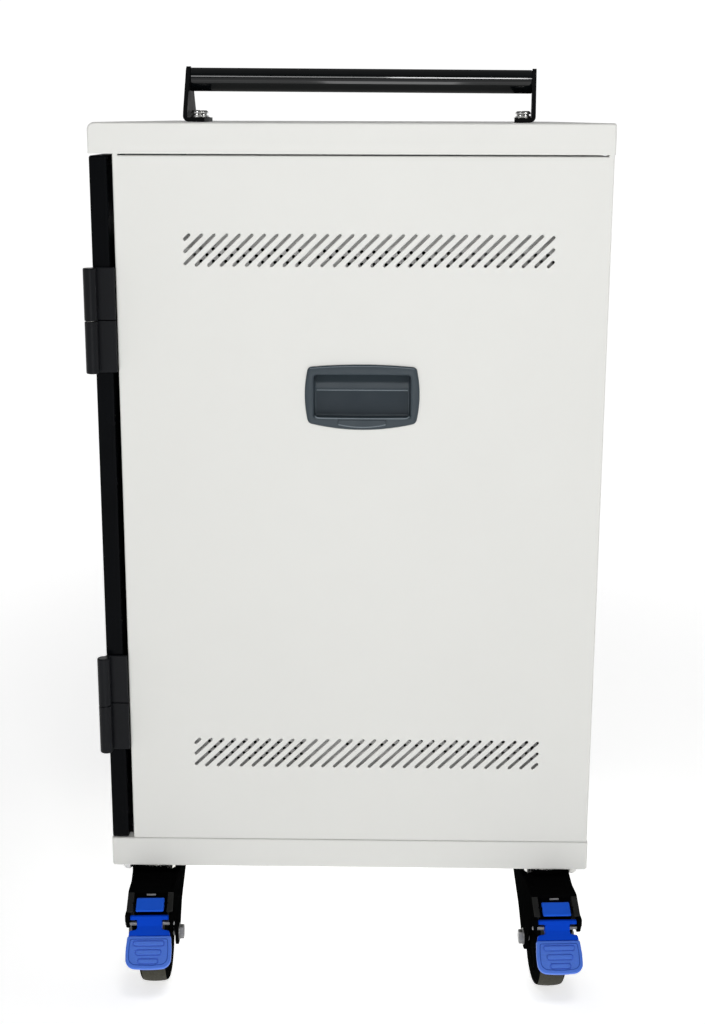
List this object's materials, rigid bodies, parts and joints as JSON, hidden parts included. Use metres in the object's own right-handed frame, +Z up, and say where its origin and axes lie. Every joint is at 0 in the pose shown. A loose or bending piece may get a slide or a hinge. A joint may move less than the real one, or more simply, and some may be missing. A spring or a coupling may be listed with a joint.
{
  "type": "laptop charging cart",
  "caption": "Sheet-metal cabinet on braked swivel casters that stores and charges laptops in divided bays behind a hinged door, with vented sides, recessed pulls and a push handle.",
  "frame": {"origin": "centre of the cart's footprint (its overall box) on the floor", "axes": "+Z up; -Y towards the handle end seen in the picture; -X towards the door at the front, +X to the rear"},
  "size_m": [0.505, 0.7768, 0.929],
  "materials": {
    "white_paint": "fine-textured satin powder coat",
    "liner_paint": "satin light grey powder coat",
    "black_gloss": "glossy black powder coat",
    "black_satin": "satin black powder coat",
    "slate_plastic": "fine-grained moulded plastic",
    "dark_plastic": "matte moulded plastic",
    "blue_plastic": "satin blue moulded plastic",
    "tread_rubber": "matte moulded tread",
    "zinc": "bright zinc plate"
  },
  "bodies": {
    "cabinet": {"base_tray": "white_paint", "top_cap": "white_paint", "side_panel_near": "white_paint", "side_panel_far": "white_paint", "rear_panel": "white_paint", "bottom_deck": "white_paint", "shelf_upper": "white_paint", "partition_panel": "white_paint", "liner_near": "liner_paint", "liner_far": "liner_paint", "divider_rack_lower": "dark_plastic", "divider_rack_upper": "dark_plastic", "power_strip_lower": "dark_plastic", "power_strip_upper": "dark_plastic", "inlet_socket": "dark_plastic", "pull_handle_near": "slate_plastic", "pull_handle_far": "slate_plastic", "handle_tube": "black_gloss", "handle_bracket_front": "black_satin", "handle_bracket_rear": "black_satin", "hinge_body_leaf_upper": "black_satin", "hinge_body_leaf_lower": "black_satin", "hinge_pin_upper": "zinc", "hinge_pin_lower": "zinc", "handle_screw_front_near": "zinc", "handle_screw_rear_near": "zinc", "handle_screw_front_far": "zinc", "handle_screw_rear_far": "zinc", "caster_plate_front_near": "black_satin", "caster_plate_rear_near": "black_satin", "caster_plate_front_far": "black_satin", "caster_plate_rear_far": "black_satin"},
    "door": {"door_panel": "black_gloss", "hinge_door_leaf_upper": "black_satin", "hinge_door_leaf_lower": "black_satin", "lock_escutcheon": "black_satin"},
    "lock": {"lock_handle": "black_satin", "lock_cam": "zinc"},
    "rocker": {"rocker_switch": "dark_plastic"},
    "caster_front_near": {"caster_fork_front_near": "black_gloss", "caster_axle_front_near": "zinc"},
    "wheel_front_near": {"caster_wheel_front_near": "tread_rubber"},
    "pedal_front_near": {"brake_pedal_front_near": "blue_plastic"},
    "release_front_near": {"brake_release_front_near": "blue_plastic"},
    "caster_rear_near": {"caster_fork_rear_near": "black_gloss", "caster_axle_rear_near": "zinc"},
    "wheel_rear_near": {"caster_wheel_rear_near": "tread_rubber"},
    "pedal_rear_near": {"brake_pedal_rear_near": "blue_plastic"},
    "release_rear_near": {"brake_release_rear_near": "blue_plastic"},
    "caster_front_far": {"caster_fork_front_far": "black_gloss", "caster_axle_front_far": "zinc"},
    "wheel_front_far": {"caster_wheel_front_far": "tread_rubber"},
    "pedal_front_far": {"brake_pedal_front_far": "blue_plastic"},
    "release_front_far": {"brake_release_front_far": "blue_plastic"},
    "caster_rear_far": {"caster_fork_rear_far": "black_gloss", "caster_axle_rear_far": "zinc"},
    "wheel_rear_far": {"caster_wheel_rear_far": "tread_rubber"},
    "pedal_rear_far": {"brake_pedal_rear_far": "blue_plastic"},
    "release_rear_far": {"brake_release_rear_far": "blue_plastic"}
  },
  "joints": [
    {"name": "door_swing", "type": "hinge", "parent": "cabinet", "child": "door", "pos_m": [-0.2375, -0.309, 0.5], "axis": [0, 0, 1], "range_deg": [0, 180]},
    {"name": "lock_turn", "type": "hinge", "parent": "door", "child": "lock", "pos_m": [-0.2375, 0.248, 0.505], "axis": [1, 0, 0], "range_deg": [0, 90]},
    {"name": "switch_rock", "type": "hinge", "parent": "cabinet", "child": "rocker", "pos_m": [0.2465, -0.17, 0.25], "axis": [0, 1, 0], "range_deg": [0, 14]},
    {"name": "swivel_front_near", "type": "hinge", "parent": "cabinet", "child": "caster_front_near", "pos_m": [-0.1965, -0.255, 0.115], "axis": [0, 0, 1], "continuous": true},
    {"name": "roll_front_near", "type": "hinge", "parent": "caster_front_near", "child": "wheel_front_near", "pos_m": [-0.19499, -0.29097, 0.05], "axis": [0.9991, 0.0419, 0], "continuous": true},
    {"name": "brake_front_near", "type": "hinge", "parent": "caster_front_near", "child": "pedal_front_near", "pos_m": [-0.1924, -0.35291, 0.093], "axis": [-0.9991, -0.0419, 0], "range_deg": [0, 18]},
    {"name": "unlock_front_near", "type": "hinge", "parent": "caster_front_near", "child": "release_front_near", "pos_m": [-0.19277, -0.34392, 0.1093], "axis": [-0.9991, -0.0419, 0], "range_deg": [-6, 0]},
    {"name": "swivel_rear_near", "type": "hinge", "parent": "cabinet", "child": "caster_rear_near", "pos_m": [0.2115, -0.255, 0.115], "axis": [0, 0, 1], "continuous": true},
    {"name": "roll_rear_near", "type": "hinge", "parent": "caster_rear_near", "child": "wheel_rear_near", "pos_m": [0.21357, -0.29094, 0.05], "axis": [0.9983, 0.0576, 0], "continuous": true},
    {"name": "brake_rear_near", "type": "hinge", "parent": "caster_rear_near", "child": "pedal_rear_near", "pos_m": [0.21714, -0.35284, 0.093], "axis": [-0.9983, -0.0576, 0], "range_deg": [0, 18]},
    {"name": "unlock_rear_near", "type": "hinge", "parent": "caster_rear_near", "child": "release_rear_near", "pos_m": [0.21662, -0.34385, 0.1093], "axis": [-0.9983, -0.0576, 0], "range_deg": [-6, 0]},
    {"name": "swivel_front_far", "type": "hinge", "parent": "cabinet", "child": "caster_front_far", "pos_m": [-0.1965, 0.255, 0.115], "axis": [0, 0, 1], "continuous": true},
    {"name": "roll_front_far", "type": "hinge", "parent": "caster_front_far", "child": "wheel_front_far", "pos_m": [-0.19499, 0.29097, 0.05], "axis": [-0.9991, 0.0419, 0], "continuous": true},
    {"name": "brake_front_far", "type": "hinge", "parent": "caster_front_far", "child": "pedal_front_far", "pos_m": [-0.1924, 0.35291, 0.093], "axis": [0.9991, -0.0419, 0], "range_deg": [0, 18]},
    {"name": "unlock_front_far", "type": "hinge", "parent": "caster_front_far", "child": "release_front_far", "pos_m": [-0.19277, 0.34392, 0.1093], "axis": [0.9991, -0.0419, 0], "range_deg": [-6, 0]},
    {"name": "swivel_rear_far", "type": "hinge", "parent": "cabinet", "child": "caster_rear_far", "pos_m": [0.2115, 0.255, 0.115], "axis": [0, 0, 1], "continuous": true},
    {"name": "roll_rear_far", "type": "hinge", "parent": "caster_rear_far", "child": "wheel_rear_far", "pos_m": [0.21357, 0.29094, 0.05], "axis": [-0.9983, 0.0576, 0], "continuous": true},
    {"name": "brake_rear_far", "type": "hinge", "parent": "caster_rear_far", "child": "pedal_rear_far", "pos_m": [0.21714, 0.35284, 0.093], "axis": [0.9983, -0.0576, 0], "range_deg": [0, 18]},
    {"name": "unlock_rear_far", "type": "hinge", "parent": "caster_rear_far", "child": "release_rear_far", "pos_m": [0.21662, 0.34385, 0.1093], "axis": [0.9983, -0.0576, 0], "range_deg": [-6, 0]}
  ]
}
